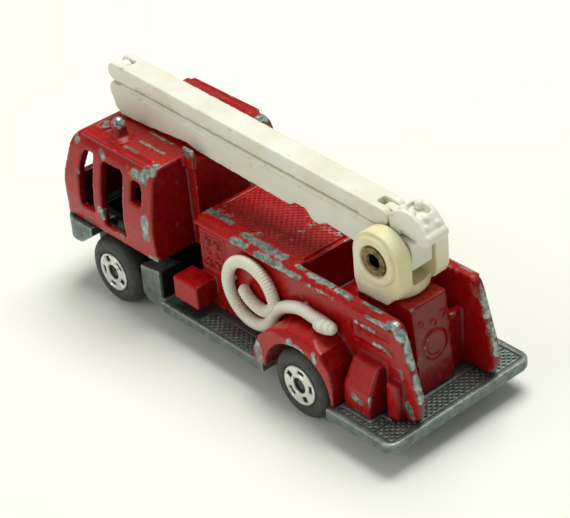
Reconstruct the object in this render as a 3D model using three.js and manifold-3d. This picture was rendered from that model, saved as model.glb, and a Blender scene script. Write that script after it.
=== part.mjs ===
// Toy snorkel fire engine: die-cast body on a bare zinc chassis, four free-running wheels,
// and a folding white boom on a cream turntable.  Millimetres, +X forward, +Y the vehicle's left,
// +Z up, origin on the ground under the middle of the vehicle.
import * as THREE from 'three';
import { mergeVertices } from 'three/addons/utils/BufferGeometryUtils.js';
import Module from 'manifold-3d';

const wasm = await Module();
wasm.setup();
const { Manifold, Mesh } = wasm;

// ---------- driving dimensions (x measured from the rear axle until the last line) ----------
const LENGTH = 74.0;             // rear step to front bumper
const STEP_REAR = -19.0;         // rear edge of the step
const HALF_STEP = 14.0;          // half width of the rear step
const WHEELBASE = 42.3;
const TYRE_R = 5.6;
const WHEEL_OUT = 13.3;          // outer face of the wheels
const WHEEL_W = 4.0;
const DISC_R = 3.1;              // silvered wheel face
const AXLE_R = 0.75;
const HANGER = 1.7;              // half length of the rear axle hangers
const HANGER_TOP = 7.3;
const AXLE_SLOT = 1.3;           // half width of the slots the axles lie in
const FIT = 0.08;                // running gap round pins and axles
const SEAT = 0.05;               // gap where castings sit on one another
const PLATE_TOP = 5.3;           // running boards and step rim
const PLATE_LOW = 3.6;           // underside of the chassis plate
const BOARD_HALF = 13.0;         // half width over the running boards
const CAB_REAR = 31.1;
const CAB_FRONT = 53.4;
const CAB_HALF = 12.9;
const PAN_REAR = 34.0;           // rear wall of the pan under the cab
const SILL = 11.9;               // lower edge of the cab
const EAVE = 25.6;
const ROOF = 27.2;               // crown of the roof
const RIB = 0.12;                // height of the roof ribs
const BEACON_X = 43.0;
const BEACON_Y = 8.1;
const WALL = 1.3;                // casting thickness
const BODY_FRONT = 26.2;
const BODY_REAR = -14.2;
const BODY_HALF = 8.15;
const BODY_TOP = 20.4;
const DECK_REAR = 5.3;
const DECK_HALF = 5.6;
const ARCH_R = 6.5;
const FENDER_OUT = 13.2;
const BLOCK_HALF = 3.4;          // turret block under the turntable
const TURN_X = -6.3;             // turntable axis
const TURN_Z = 19.6;             // underside of the turntable
const SWIVEL_REST = 2.3;         // degrees the boom rests to the left
const LIFT_REST = 3.85;          // degrees the boom rests nose-up on the roof
const EAR_IN = 2.35;
const EAR_OUT = 5.0;
const EAR_R = 4.3;
const PIVOT_X = -1.7;            // boom pivot from the turntable axis
const PIVOT_Z = 6.6;             // boom pivot above the turntable underside
const EYELET_R = 1.5;
const BOOM_HALF = 2.05;
const REST_GAP = 0.3;            // boom foot above the roof
const KNUCKLE_X = 56.2;          // front hinge, measured along the boom from its pivot
const KNUCKLE_Z = 4.6;
const LOWER_TOP = 3.05;
const UPPER_R = 1.4;             // half depth of the upper boom
const PIN_R = 0.5;
const PIN_END = 1.6;             // the hinge pins stop inside the cheeks
const NOSE = 0.5;                // the upper boom reaches this far past its front hinge
const TONGUE = 0.7;              // half thickness of the hinge tongues
const BASKET_PIN_X = 2.0;
const PEG_R = 0.5;               // pegs that hold the hose to the wall
const TINY = 0.01;                // detail smaller than this is merged away
const rad = Math.PI / 180;

// ---------- solid helpers ----------
function solid(geometry) {
  const g = geometry.clone();
  g.deleteAttribute('normal');
  g.deleteAttribute('uv');
  const merged = mergeVertices(g, 1e-5);
  const index = merged.index.array;
  const keep = [];
  for (let i = 0; i < index.length; i += 3) {
    const [a, b, c] = [index[i], index[i + 1], index[i + 2]];
    if (a !== b && b !== c && a !== c) keep.push(a, b, c);
  }
  return new Manifold(new Mesh({
    numProp: 3,
    vertProperties: new Float32Array(merged.attributes.position.array),
    triVerts: new Uint32Array(keep),
  }));
}

function geometryOf(manifold) {
  const mesh = manifold.getMesh();
  const g = new THREE.BufferGeometry();
  const n = mesh.numProp;
  const points = new Float32Array(mesh.vertProperties.length / n * 3);
  for (let i = 0; i < points.length / 3; i += 1) {
    for (let k = 0; k < 3; k += 1) points[3 * i + k] = mesh.vertProperties[n * i + k];
  }
  g.setAttribute('position', new THREE.BufferAttribute(points, 3));
  g.setIndex(new THREE.BufferAttribute(new Uint32Array(mesh.triVerts), 1));
  const flat = g.toNonIndexed();
  flat.computeVertexNormals();
  return flat;
}

function box(x0, x1, y0, y1, z0, z1) {
  const g = new THREE.BoxGeometry(x1 - x0, y1 - y0, z1 - z0);
  g.translate((x0 + x1) / 2, (y0 + y1) / 2, (z0 + z1) / 2);
  return solid(g);
}

// Both sides of the vehicle at once.
function boxPair(x0, x1, y0, y1, z0, z1) {
  return box(x0, x1, y0, y1, z0, z1).add(box(x0, x1, -y1, -y0, z0, z1));
}

// Rod along Y.
function rodY(x, z, r, y0, y1, seg = 24) {
  const g = new THREE.CylinderGeometry(r, r, y1 - y0, seg);
  g.translate(x, (y0 + y1) / 2, z);
  return solid(g);
}

// Upright post.
function post(x, y, r0, r1, z0, z1, seg = 24) {
  const g = new THREE.CylinderGeometry(r1, r0, z1 - z0, seg);
  g.rotateX(Math.PI / 2);
  g.translate(x, y, (z0 + z1) / 2);
  return solid(g);
}

function shapeOf(points) {
  const s = new THREE.Shape();
  points.forEach(([a, b], i) => (i ? s.lineTo(a, b) : s.moveTo(a, b)));
  s.closePath();
  return s;
}

// Side profile in X-Z, extruded across the vehicle from y0 to y1.
function sideways(points, y0, y1) {
  const g = new THREE.ExtrudeGeometry(shapeOf(points), { depth: y1 - y0, bevelEnabled: false });
  g.rotateX(Math.PI / 2);
  g.translate(0, y1, 0);
  return solid(g);
}

function sidewaysPair(points, y0, y1) {
  return sideways(points, y0, y1).add(sideways(points, -y1, -y0));
}

// Cross section in Y-Z, extruded along the vehicle from x0 to x1.
function lengthways(points, x0, x1) {
  const g = new THREE.ExtrudeGeometry(shapeOf(points), { depth: x1 - x0, bevelEnabled: false });
  g.rotateY(Math.PI / 2);
  g.rotateX(Math.PI / 2);
  g.translate(x0, 0, 0);
  return solid(g);
}

// Plan outline in X-Y, extruded upward from z0 to z1.
function upward(points, z0, z1) {
  const g = new THREE.ExtrudeGeometry(shapeOf(points), { depth: z1 - z0, bevelEnabled: false });
  g.translate(0, 0, z0);
  return solid(g);
}

function arc(cx, cy, r, from, to, steps) {
  const out = [];
  for (let i = 0; i <= steps; i += 1) {
    const a = (from + (to - from) * i / steps) * rad;
    out.push([cx + r * Math.cos(a), cy + r * Math.sin(a)]);
  }
  return out;
}

// Closed outline from its left half: the right half is the mirror image.
function mirrored(half) {
  return half.concat(half.slice().reverse().map(([y, z]) => [-y, z]));
}

function mesh(name, manifold, color, roughness, metalness) {
  const material = new THREE.MeshStandardMaterial({ color, roughness, metalness });
  const m = new THREE.Mesh(geometryOf(manifold.simplify(TINY)), material);
  m.name = name;
  return m;
}

const RED = [0x9b1313, 0.35, 0.1];
const ZINC = [0x6b7370, 0.45, 0.85];
const BLACK = [0x2b2d2a, 0.6, 0.0];
const STEEL = [0x9a9a96, 0.35, 1.0];
const WHITE = [0xe3e0cc, 0.45, 0.0];
const CREAM = [0xd8cd98, 0.45, 0.0];
const BRASS = [0x7d6a3a, 0.4, 1.0];

// ---------- cab ----------
// The outside of the cab and, with a positive inset, the space inside it.
function cabForm(inset) {
  const section = mirrored([
    [CAB_HALF - 0.3 - inset, SILL - (inset ? 1 : 0)],
    [CAB_HALF - inset, SILL + 4.6],
    [CAB_HALF - 0.2 - inset, SILL + 7.6],
    [CAB_HALF - 1.0 - inset, EAVE - 1.3 - inset],
    [CAB_HALF - 1.4 - inset, EAVE - inset],
    [CAB_HALF - 2.3 - inset, EAVE + 1.3 - inset],
    [CAB_HALF - 3.4 - inset, ROOF - 0.05 - inset],
    [3.5, ROOF - inset],
  ]);
  const side = [
    [CAB_REAR + inset, SILL - 2],
    [CAB_FRONT - 0.6 - inset, SILL - 2],
    [CAB_FRONT - inset, SILL + 2.0],
    [CAB_FRONT - 0.1 - inset, SILL + 4.2],
    [CAB_FRONT - 1.1 - inset, SILL + 8.6],
    [CAB_FRONT - 2.2 - inset, EAVE - 1.0 - inset],
    [CAB_FRONT - 2.9 - inset, EAVE + 0.5 - inset],
    [CAB_FRONT - 3.9 - inset, ROOF - 0.25 - inset],
    [CAB_FRONT - 5.2 - inset, ROOF - inset],
    [CAB_FRONT - 6.0 - inset, ROOF + 1 - inset],
    [CAB_REAR + 0.2 + inset, ROOF + 1 - inset],
  ];
  const r = 1.9;
  const cx = CAB_FRONT - inset - r;
  const cy = CAB_HALF - inset - r + 0.2;
  const plan = [[CAB_REAR - 1, CAB_HALF + 1], [cx, CAB_HALF + 1]]
    .concat(arc(cx, cy, r + 0.05, 80, 0, 6))
    .concat(arc(cx, -cy, r + 0.05, 0, -80, 6))
    .concat([[cx, -CAB_HALF - 1], [CAB_REAR - 1, -CAB_HALF - 1]])
    .reverse();
  return lengthways(section, CAB_REAR + inset, CAB_FRONT + 1)
    .intersect(sideways(side, -CAB_HALF - 1, CAB_HALF + 1))
    .intersect(upward(plan, SILL - 2, ROOF + 1));
}

function cab() {
  const front = [[45.5, 14.8], [49.0, 14.8], [48.9, 21.0], [48.1, 23.8], [47.5, 24.6], [45.5, 24.8]];
  const door = [[38.3, 13.4], [43.5, 13.4], [43.5, 23.6], [43.0, 24.5], [38.9, 24.6], [38.3, 23.8]];
  const light = [[33.8, 20.4], [36.3, 20.4], [36.3, 23.6], [35.8, 24.1], [34.3, 24.0], [33.8, 23.2]];
  let c = cabForm(0).subtract(cabForm(WALL));
  for (const opening of [front, door, light]) {
    c = c.subtract(sidewaysPair(opening, CAB_HALF - 4, CAB_HALF + 2));
  }
  const pane = [[1.0, 18.2], [9.6, 18.2], [9.2, 24.6], [1.0, 25.2]];
  c = c.subtract(lengthways(pane, CAB_FRONT - 6, CAB_FRONT + 2));
  c = c.subtract(lengthways(pane.map(([y, z]) => [-y, z]).reverse(), CAB_FRONT - 6, CAB_FRONT + 2));
  // headboard on the back of the cab and the neck that joins it to the rear body
  c = c.add(box(CAB_REAR - 1.7, CAB_REAR + 0.5, -5.2, 5.2, SILL + 0.1, ROOF - 0.4));
  c = c.add(box(BODY_FRONT - 1, CAB_REAR - 1, -5.2, 5.2, SILL + 0.1, 17.4));
  return c.add(roofDetails());
}

// Beacon on its ring, siren dome ahead of it, and the roof ribs.
function roofDetails() {
  const z = ROOF - 1.0;
  let d = post(BEACON_X, BEACON_Y, 2.0, 1.9, z, 27.5, 20);
  d = d.add(post(BEACON_X, BEACON_Y, 1.2, 1.15, 27.4, 29.3, 16));
  d = d.add(post(BEACON_X, BEACON_Y, 1.15, 0.55, 29.2, 30.0, 16));
  d = d.add(post(BEACON_X + 3.9, BEACON_Y - 0.4, 1.9, 1.1, z, 27.7, 16));
  for (const [y, x0, x1] of [[9.5, 33.4, 40.2], [7.1, 33.6, 39.4], [4.5, 34.2, 40.6]]) {
    d = d.add(boxPair(x0, x1, y - 0.25, y + 0.25, ROOF - 1.2, ROOF + RIB));
  }
  return d;
}

// ---------- rear body ----------
function bodySide() {
  return [
    [BODY_FRONT, PLATE_TOP + SEAT],
    [BODY_FRONT, BODY_TOP],
    [BODY_REAR - 0.2, BODY_TOP],
    [BODY_REAR - 1.1, BODY_TOP - 0.5],
    [BODY_REAR - 1.6, BODY_TOP - 1.6],
    [BODY_REAR - 4.4, 9.4],
    [BODY_REAR - 4.3, 7.0],
    [BODY_REAR - 3.4, PLATE_TOP + SEAT],
  ].reverse();
}

function rearBody() {
  const side = bodySide();
  let b = sidewaysPair(side, BODY_HALF - 1.5, BODY_HALF);
  // ledge along the outside of each wall, just below its top
  b = b.add(boxPair(BODY_REAR, BODY_FRONT, BODY_HALF - 0.5, BODY_HALF + 0.7, BODY_TOP - 1.2, BODY_TOP - 0.5));
  // front bulkhead, decked top with its sunk tread panel, and the drop behind the deck
  b = b.add(box(BODY_FRONT - 1.4, BODY_FRONT, -BODY_HALF, BODY_HALF, PLATE_TOP + SEAT, BODY_TOP));
  b = b.add(box(DECK_REAR, BODY_FRONT, -BODY_HALF, BODY_HALF, BODY_TOP - 2.0, BODY_TOP));
  b = b.subtract(box(DECK_REAR - 1, BODY_FRONT - 0.9, -DECK_HALF, DECK_HALF, BODY_TOP - 0.4, BODY_TOP + 1));
  b = b.add(box(DECK_REAR, DECK_REAR + 1.3, -BODY_HALF + 1, BODY_HALF - 1, 12.0, BODY_TOP - 1));
  // floor of the well
  b = b.add(box(BODY_REAR + 1.4, DECK_REAR + 1, -BODY_HALF + 1, BODY_HALF - 1, 11.8, 13.0));
  // tail panels beside the turret block
  b = b.add(box(BODY_REAR + 1.4, BODY_REAR + 2.6, -BODY_HALF + 1, BODY_HALF - 1, PLATE_TOP + SEAT, 14.6));
  const tail = [
    [BODY_REAR, PLATE_TOP + SEAT],
    [BODY_REAR + 0.1, 9.6],
    [BODY_REAR + 1.1, TURN_Z - 0.1],
    [TURN_X + 3.6, TURN_Z - 0.1],
    [TURN_X + 4.0, 12.5],
    [-9.5, 12.5],
    [-9.5, PLATE_TOP + SEAT],
  ].reverse();
  b = b.add(sideways(tail, -BLOCK_HALF, BLOCK_HALF));
  b = b.add(post(TURN_X, 0, 4.2, 4.2, 12.5, TURN_Z - 0.1, 32));
  b = b.add(tailRelief());
  // room for the turntable rivet
  b = b.subtract(post(TURN_X, 0, 2.4, 2.4, 11.0, TURN_Z - 2.0, 24));
  b = b.subtract(post(TURN_X, 0, 1.2 + FIT, 1.2 + FIT, TURN_Z - 3, TURN_Z + 1, 24));
  return b.add(fittings());
}

// Round gauge and small bosses on the sloping tail face.
function tailRelief() {
  const g = new THREE.CylinderGeometry(1.6, 1.6, 1.0, 24);
  g.rotateZ(Math.PI / 2 - 6 * rad);
  g.translate(BODY_REAR + 0.75, 0, 12.6);
  const s = new THREE.CylinderGeometry(0.4, 0.4, 1.2, 12);
  s.rotateZ(Math.PI / 2 - 6 * rad);
  const knob = (y, z) => solid(s.clone().translate(BODY_REAR + 0.75 + (z - 12.6) * 0.1, y, z));
  return solid(g).add(knob(2.1, 16.6)).add(knob(-0.2, 15.9)).add(knob(-2.1, 16.6));
}

// Fenders, lockers and posts outside and under the walls, the same on both sides.
function fittings() {
  const low = PLATE_TOP + SEAT;
  const fender = [[9.8, low], [9.6, 7.6], [8.4, 10.2], [6.2, 12.3], [3.0, 13.5], [-2.0, 13.7],
    [-4.6, 13.0], [-6.4, 11.0], [-7.0, 8.2], [-7.0, low]];
  const rise = [[BODY_HALF - 0.5, 4.5], [FENDER_OUT, 4.5], [FENDER_OUT, 12.6], [FENDER_OUT - 0.6, 13.3],
    [BODY_HALF - 0.5, 15.2]];
  let f = sideways(fender, BODY_HALF - 0.5, FENDER_OUT).intersect(lengthways(rise, -8, 11));
  // flat-topped locker ahead of the fender
  const locker = [[BODY_HALF - 0.5, 6.8], [12.1, 6.8], [12.1, 10.4], [11.8, 10.7], [BODY_HALF - 0.5, 10.8]];
  f = f.add(lengthways(locker, 23.1, 28.6));
  f = f.subtract(box(BODY_FRONT, 29, 0, BODY_HALF, 4, 14));
  // sloping locker and ribbed block behind the fender
  const wedge = [[BODY_HALF - 0.5, low], [11.6, low], [11.6, 9.1], [9.6, 12.7], [BODY_HALF - 0.5, 13.1]];
  f = f.add(lengthways(wedge, -12.7, -7.6));
  f = f.add(box(-16.0, -13.7, BODY_HALF - 0.5, 9.3, low, 11.2));
  let all = f.add(f.mirror([0, 1, 0]));
  const wheelRoom = sidewaysPair(arc(0.6, 5.2, ARCH_R, 0, 360, 40).slice(0, -1), 7.0, FENDER_OUT + 1);
  all = all.subtract(wheelRoom);
  return all;
}

// Posts spun over below the chassis plate to hold the two castings together.
function spunPosts() {
  const rear = post(-10.4, 0, 1.5, 1.5, PLATE_TOP + SEAT, 12.6, 20)
    .add(post(-10.4, 0, 1.1, 1.1, PLATE_LOW + 0.2, PLATE_TOP + 1, 20));
  const front = post(27.6, 0, 1.5, 1.5, PLATE_TOP + SEAT, 10, 20)
    .add(post(27.6, 0, 1.1, 1.1, PLATE_LOW + 0.2, PLATE_TOP + 1, 20));
  return rear.add(front);
}

function bodyShell() {
  let b = cab().add(rearBody());
  b = b.subtract(rearWheelRoom());
  b = b.add(spunPosts());
  for (const [x, z] of HOSE_PEGS) b = b.subtract(rodY(x, z, PEG_R + FIT, 5.5, 9.5, 16));
  return mesh('body_shell', b, ...RED);
}

// Space for the rear tyres where they reach inboard of the walls, and for the axle hangers.
function rearWheelRoom() {
  const tyre = arc(0, TYRE_R, TYRE_R + 0.7, 0, 360, 40).slice(0, -1);
  return sidewaysPair(tyre, BODY_HALF - 0.2, WHEEL_OUT + 1)
    .add(boxPair(-HANGER - 0.25, HANGER + 0.25, 5.9, BODY_HALF + 1, 5, HANGER_TOP + 0.25));
}

// ---------- chassis ----------
function roundedStep(x0, x1, half, r) {
  return [[x1, -half], [x1, half]]
    .concat(arc(x0 + r, half - r, r, 90, 180, 5))
    .concat(arc(x0 + r, -half + r, r, 180, 270, 5));
}

function chassis() {
  const spine = 8.4;
  let c = box(-14, PAN_REAR + 1, -spine, spine, PLATE_LOW, PLATE_TOP);
  // rear step with raised rim
  c = c.add(upward(roundedStep(STEP_REAR, -6.1, HALF_STEP, 1.6), PLATE_LOW, PLATE_TOP));
  c = c.subtract(box(STEP_REAR + 1.1, -14.6, -12.9, 12.9, PLATE_TOP - 0.45, PLATE_TOP + 1));
  c = c.subtract(boxPair(-14.7, -7.4, 9.6, 12.9, PLATE_TOP - 0.45, PLATE_TOP + 1)
    .subtract(boxPair(-12.9, -7.3, 9.0, 11.9, 4, 6)));
  // running boards with sunk treads
  c = c.add(box(8.2, CAB_REAR, -BOARD_HALF, BOARD_HALF, PLATE_LOW, PLATE_TOP));
  c = c.subtract(boxPair(10.2, 22.9, 9.4, 12.4, PLATE_TOP - 0.3, PLATE_TOP + 1));
  // step blocks behind the front wheels
  const block = [[31.0, PLATE_LOW], [34.8, PLATE_LOW - 0.2], [36.2, 4.6], [36.0, 9.4], [31.0, 10.2]];
  c = c.add(sidewaysPair(block, 8.0, 12.5));
  // pan under the cab, open above
  c = c.add(box(PAN_REAR, 52.0, -spine, spine, PLATE_LOW, SILL - 0.2));
  c = c.subtract(box(PAN_REAR + 1.4, 50.6, -spine + 1.2, spine - 1.2, PLATE_LOW + 1.4, SILL + 1));
  c = c.add(bumper());
  // rear axle hangers
  c = c.add(boxPair(-HANGER, HANGER, 6.0, spine, PLATE_LOW, HANGER_TOP));
  c = c.subtract(box(-AXLE_SLOT, AXLE_SLOT, -6.0, 6.0, PLATE_LOW - 1, PLATE_TOP + 3));
  for (const x of [0, WHEELBASE]) {
    c = c.subtract(rodY(x, TYRE_R, AXLE_R + FIT, -spine - 1, spine + 1));
    c = c.subtract(sidewaysPair(arc(x, TYRE_R, TYRE_R + 0.6, 0, 360, 36).slice(0, -1), spine + 0.02, 15));
  }
  c = c.subtract(box(WHEELBASE - AXLE_SLOT, WHEELBASE + AXLE_SLOT, -7.2, 7.2, 0, PLATE_TOP + 2));
  // holes for the spun posts
  for (const x of [-10.4, 27.6]) {
    c = c.subtract(post(x, 0, 1.1 + FIT, 1.1 + FIT, 0, 8, 20));
  }
  return mesh('chassis_base', c, ...ZINC);
}

function bumper() {
  const half = 13.4;
  const r = 3.2;
  const x1 = LENGTH + STEP_REAR;
  const front = x1 - r - 0.9;
  const outline = [[46.6, half], [front, half]]
    .concat(arc(front, half - r, r, 90, 20, 6))
    .concat([[x1, 0]])
    .concat(arc(front, -half + r, r, -20, -90, 6))
    .concat([[46.6, -half], [46.6, -8], [51.8, -8], [51.8, 8], [46.6, 8]])
    .reverse();
  const side = [[46.4, 10.4], [49.6, 7.9], [53.0, 7.6], [56, 8.3], [56, 12.4], [54.2, 12.7],
    [53.4, 11.7], [46.4, 11.7]];
  return upward(outline, 7, 13).intersect(sideways(side, -14, 14))
    .subtract(box(48.2, 51.9, -12.3, 12.3, 6, 10.9));
}

// ---------- running gear ----------
function axle(name, x) {
  const rod = rodY(0, 0, AXLE_R, -WHEEL_OUT + 0.5, WHEEL_OUT - 0.5);
  const m = mesh(name, rod, ...STEEL);
  m.position.set(x, 0, TYRE_R);
  return m;
}

// One wheel, turned about Y, its outer face toward +Y before it is placed.
function wheelSolid() {
  const w = WHEEL_W;
  const R = TYRE_R;
  const bore = AXLE_R + FIT;
  const profile = [
    [bore, 0], [R - 1.3, 0], [R - 0.3, 0.4], [R, 1.1], [R, w - 1.3], [R - 0.3, w - 0.55], [R - 1.0, w - 0.15],
    [DISC_R + 0.5, w - 0.1], [DISC_R + 0.25, w - 0.35], [DISC_R, w - 0.3], [DISC_R - 0.1, w],
    [1.5, w - 0.1], [1.3, w - 0.7], [bore, w - 0.7],
  ];
  const points = profile.concat([profile[0]]).map(([r, y]) => new THREE.Vector2(r, y));
  let s = solid(new THREE.LatheGeometry(points, 32));
  for (let i = 0; i < 5; i += 1) {
    const g = new THREE.BoxGeometry(1.15, 1.2, 0.85);
    g.translate(0, w, 2.25);
    g.rotateY(i * 72 * rad);
    s = s.subtract(solid(g));
  }
  return s;
}

function wheels() {
  const base = wheelSolid();
  const out = [];
  for (const [end, x] of [['front', WHEELBASE], ['rear', 0]]) {
    for (const [side, s] of [['left', 1], ['right', -1]]) {
      const m = mesh(`wheel_${end}_${side}`, base, ...BLACK);
      m.position.set(x, s * (WHEEL_OUT - WHEEL_W), TYRE_R);
      if (s < 0) m.rotation.set(0, 0, Math.PI);
      out.push(m);
    }
  }
  return out;
}

// ---------- turntable ----------
function bracket() {
  let b = post(0, 0, 4.9, 5.2, 0, 0.5, 36).add(post(0, 0, 5.2, 5.2, 0.5, 2.0, 36));
  const ear = [[PIVOT_X + EAR_R - 0.4, 0.9], [PIVOT_X + EAR_R, 2.2]]
    .concat(arc(PIVOT_X, PIVOT_Z, EAR_R, 0, 180, 16))
    .concat([[PIVOT_X - EAR_R, 3.0], [-5.4, 1.7], [-4.4, 1.2], [-3.8, 0.3], [-3.4, 0]])
    .concat([[2.0, 0]]);
  b = b.add(sidewaysPair(ear, EAR_IN, EAR_OUT));
  const ring = [[2.4, -0.4], [3.7, -0.4], [3.7, 0.3], [3.4, 0.55], [2.7, 0.55], [2.4, 0.35]];
  const points = ring.concat([ring[0]]).map(([r, y]) => new THREE.Vector2(r, y));
  const lathe = new THREE.LatheGeometry(points, 32);
  lathe.translate(PIVOT_X, EAR_OUT, PIVOT_Z);
  const boss = solid(lathe);
  b = b.add(boss).add(boss.mirror([0, 1, 0]));
  b = b.subtract(rodY(PIVOT_X, PIVOT_Z, EYELET_R + FIT, -7, 7));
  b = b.subtract(post(0, 0, 1.2 + FIT, 1.2 + FIT, -1, 3));
  b = b.subtract(post(0, 0, 2.2 + FIT, 2.2 + FIT, 1.4 - 0.05, 3));
  return mesh('turntable_bracket', b, ...CREAM);
}

function turntableRivet() {
  const r = post(0, 0, 1.2, 1.2, -2.6, 1.5).add(post(0, 0, 2.2, 2.2, 1.4, 1.95))
    .add(post(0, 0, 1.2, 1.9, -2.7, -2.1));
  return mesh('turntable_rivet', r, ...STEEL);
}

// Tubular eyelet through both ears and the lower boom.
function eyelet() {
  const end = EAR_OUT + 0.05;
  const half = [[EYELET_R, end], [2.3, end], [2.1, end + 0.4], [1.25, end + 0.4], [1.0, end + 0.1]];
  const ring = half.concat(half.slice().reverse().map(([r, y]) => [r, -y]));
  const closed = ring.concat([ring[0]]).map(([r, y]) => new THREE.Vector2(r, y));
  const m = mesh('boom_eyelet', solid(new THREE.LatheGeometry(closed, 32)), ...BRASS);
  m.position.set(PIVOT_X, 0, PIVOT_Z);
  return m;
}

// ---------- boom ----------
// Height, below the boom's own axis, that brings the foot just above the roof when it rests.
function footAt(s) {
  const above = ROOF + REST_GAP - TURN_Z - PIVOT_Z;
  return above / Math.cos(LIFT_REST * rad) - s * Math.tan(LIFT_REST * rad);
}

function lowerBoom() {
  const lobe = 1.75;
  const outline = [
    [-4.0, -1.4], [-3.5, -1.85], [7.0, -1.75], [12.0, -1.4], [13.6, -2.3], [15.0, -2.2],
    [16.4, -0.9], [18.4, -0.9], [19.4, -1.75], [38.6, -1.45], [41.0, -1.0],
    [50.0, footAt(50.0)], [55.6, footAt(55.6)], [56.8, -1.5],
  ].concat(arc(KNUCKLE_X, LOWER_TOP - lobe, lobe, -50, 90, 8)).concat([[-4.0, LOWER_TOP]]);
  let b = sideways(outline, -BOOM_HALF, BOOM_HALF);
  b = b.subtract(boxPair(-3.0, 53.0, BOOM_HALF - 0.25, BOOM_HALF + 1, 2.2, 2.6));
  // room for the nose of the upper boom to swing past
  const scoop = rodY(KNUCKLE_X, KNUCKLE_Z, NOSE + UPPER_R + 0.15, TONGUE, 3, 28);
  b = b.subtract(scoop.add(scoop.mirror([0, 1, 0])));
  b = b.add(rodY(KNUCKLE_X, KNUCKLE_Z, 1.15, -TONGUE, TONGUE, 20));
  b = b.add(box(KNUCKLE_X - 1.15, KNUCKLE_X + 1.15, -TONGUE, TONGUE, 2.5, KNUCKLE_Z));
  b = b.subtract(rodY(KNUCKLE_X, KNUCKLE_Z, PIN_R + FIT, -PIN_END - SEAT, PIN_END + SEAT, 16));
  b = b.subtract(rodY(0, 0, EYELET_R + FIT, -3, 3));
  return mesh('lower_boom', b, ...WHITE);
}

function upperBoom() {
  const z0 = KNUCKLE_Z - UPPER_R;
  const z1 = KNUCKLE_Z + UPPER_R;
  const outline = arc(KNUCKLE_X + NOSE, KNUCKLE_Z, UPPER_R, -90, 90, 12)
    .concat(arc(BASKET_PIN_X, KNUCKLE_Z, UPPER_R, 90, 270, 12));
  let b = sideways(outline, -BOOM_HALF, BOOM_HALF);
  // step line along each flank
  b = b.subtract(boxPair(6.0, 52.0, BOOM_HALF - 0.25, BOOM_HALF + 1, z0 - 1, z0 + 0.7));
  b = b.subtract(box(KNUCKLE_X - 1.7, KNUCKLE_X + 3, -TONGUE - 0.12, TONGUE + 0.12, z0 - 1, z1 + 1));
  b = b.subtract(box(BASKET_PIN_X - 3, BASKET_PIN_X + 1.7, -TONGUE - 0.12, TONGUE + 0.12, z0 - 1, z1 + 1));
  b = b.subtract(rodY(KNUCKLE_X, KNUCKLE_Z, PIN_R + FIT, -PIN_END - SEAT, PIN_END + SEAT, 16));
  b = b.subtract(rodY(BASKET_PIN_X, KNUCKLE_Z, PIN_R + FIT, -PIN_END - SEAT, PIN_END + SEAT, 16));
  return mesh('upper_boom', b, ...WHITE);
}

function hingePin(name, x) {
  const m = mesh(name, rodY(0, 0, PIN_R, -PIN_END, PIN_END, 16), ...STEEL);
  m.position.set(x, 0, KNUCKLE_Z);
  return m;
}

// Small lumpy rescue basket carried behind the end of the upper boom: a rounded hood, a shallow
// tray in its top, and a cross bar low down behind.
function basket() {
  const side = [[0.2, 3.4], [0.3, 6.1], [-0.5, 6.8], [-1.8, 7.5], [-3.4, 7.6], [-4.7, 6.9],
    [-5.8, 5.9], [-6.3, 5.2], [-6.3, 4.0], [-5.8, 3.4]];
  let b = sideways(side.reverse(), -BOOM_HALF, BOOM_HALF);
  b = b.subtract(box(-4.3, -1.1, -BOOM_HALF + 0.75, BOOM_HALF - 0.75, 6.5, 8));
  b = b.subtract(boxPair(-4.6, -1.6, BOOM_HALF - 0.5, BOOM_HALF + 1, 3.0, 4.4));
  b = b.add(rodY(-6.0, 4.5, 0.9, -BOOM_HALF, BOOM_HALF, 20));
  b = b.add(box(-0.6, BASKET_PIN_X, -TONGUE, TONGUE, KNUCKLE_Z - 1.1, KNUCKLE_Z + 1.1));
  b = b.add(rodY(BASKET_PIN_X, KNUCKLE_Z, 1.1, -TONGUE, TONGUE, 20));
  b = b.subtract(rodY(BASKET_PIN_X, KNUCKLE_Z, PIN_R + FIT, -PIN_END - SEAT, PIN_END + SEAT, 16));
  return mesh('basket', b, ...WHITE);
}

// ---------- hose ----------
const HOSE_R = 0.95;
const HOSE_Y = BODY_HALF + 0.1 + HOSE_R;
const COIL_X = 13.9;             // middle of the coil
const COIL_Z = 12.8;
const COIL_R = 5.05;
const HOSE_PEGS = [[COIL_X + COIL_R, COIL_Z], [3.2, 15.2]];
const NOZZLE = [-2.6, 15.1];     // start of the branch pipe

function coilArc(from, to) {
  const out = [];
  for (let a = from; a <= to; a += 15) {
    out.push([COIL_X + COIL_R * Math.cos(a * rad), COIL_Z + COIL_R * Math.sin(a * rad)]);
  }
  return out;
}

function strand(points) {
  const curve = points.map(([x, z]) => new THREE.Vector3(x, HOSE_Y, z));
  const path = new THREE.CatmullRomCurve3(curve, false, 'catmullrom', 0.5);
  const round = shapeOf(arc(0, 0, HOSE_R, 0, 360, 12).slice(0, -1));
  return solid(new THREE.ExtrudeGeometry(round, { steps: 52, bevelEnabled: false, extrudePath: path }));
}

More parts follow.
